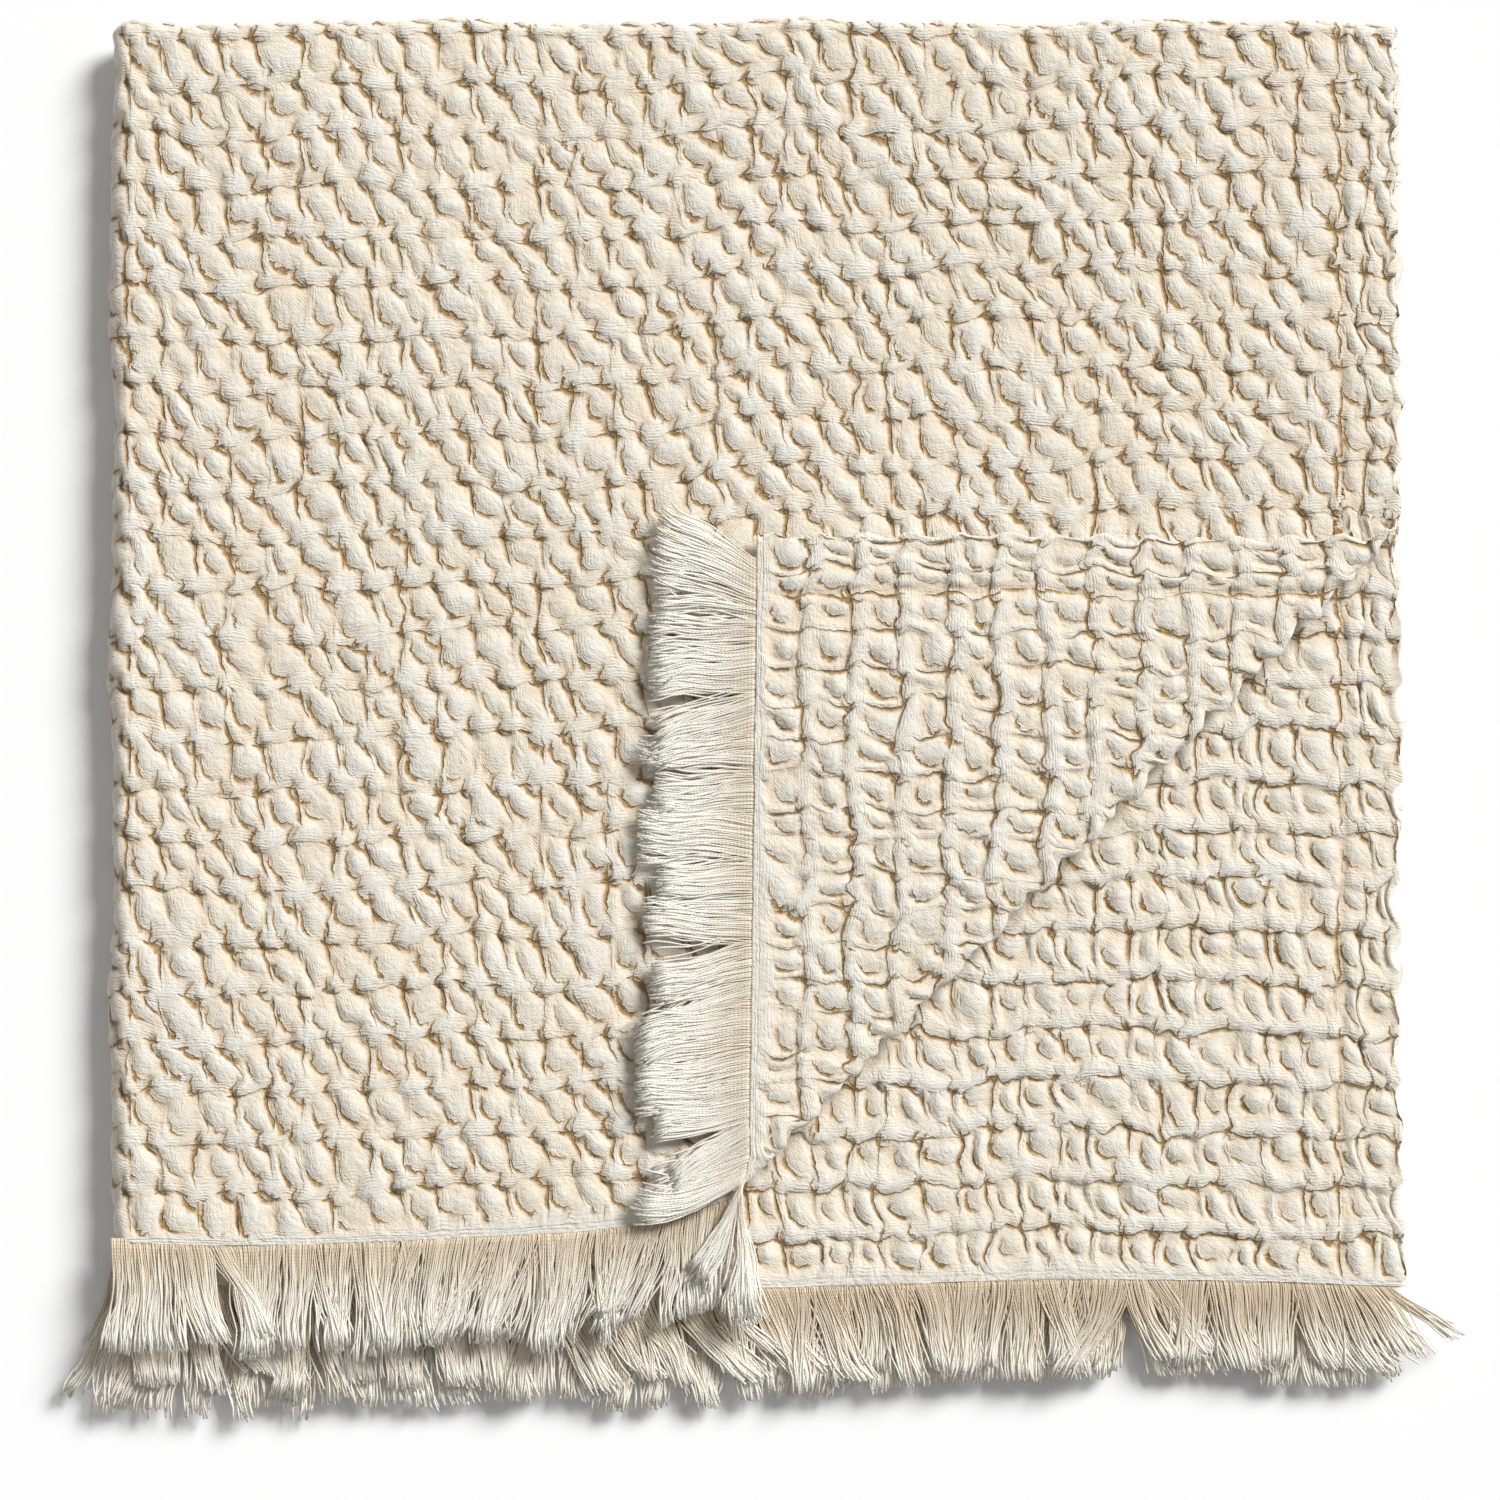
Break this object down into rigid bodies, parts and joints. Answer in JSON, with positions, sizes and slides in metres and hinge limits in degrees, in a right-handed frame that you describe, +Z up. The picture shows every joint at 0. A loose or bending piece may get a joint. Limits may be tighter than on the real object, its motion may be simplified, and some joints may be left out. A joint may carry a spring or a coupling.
{
  "type": "folded waffle blanket with fringed ends",
  "caption": "Ivory waffle-weave cotton blanket folded flat, its fringed ends together and one corner of the top layer turned back.",
  "frame": {"origin": "centre of the folded blanket's outline, on the surface that it lies on", "axes": "+X along the fringed ends, away from the left fold; +Y from the fringe to the top fold; +Z up"},
  "size_m": [0.6698, 0.6977, 0.0353],
  "materials": {
    "cloth": "matte ivory cotton in a deep waffle weave",
    "fringe": "loose pale cotton yarn ends"
  },
  "bodies": {
    "root": {"cloth": "cloth", "fringe_top": "fringe", "fringe_flap": "fringe", "fringe_second": "fringe", "fringe_third": "fringe", "fringe_bottom": "fringe"}
  },
  "joints": []
}
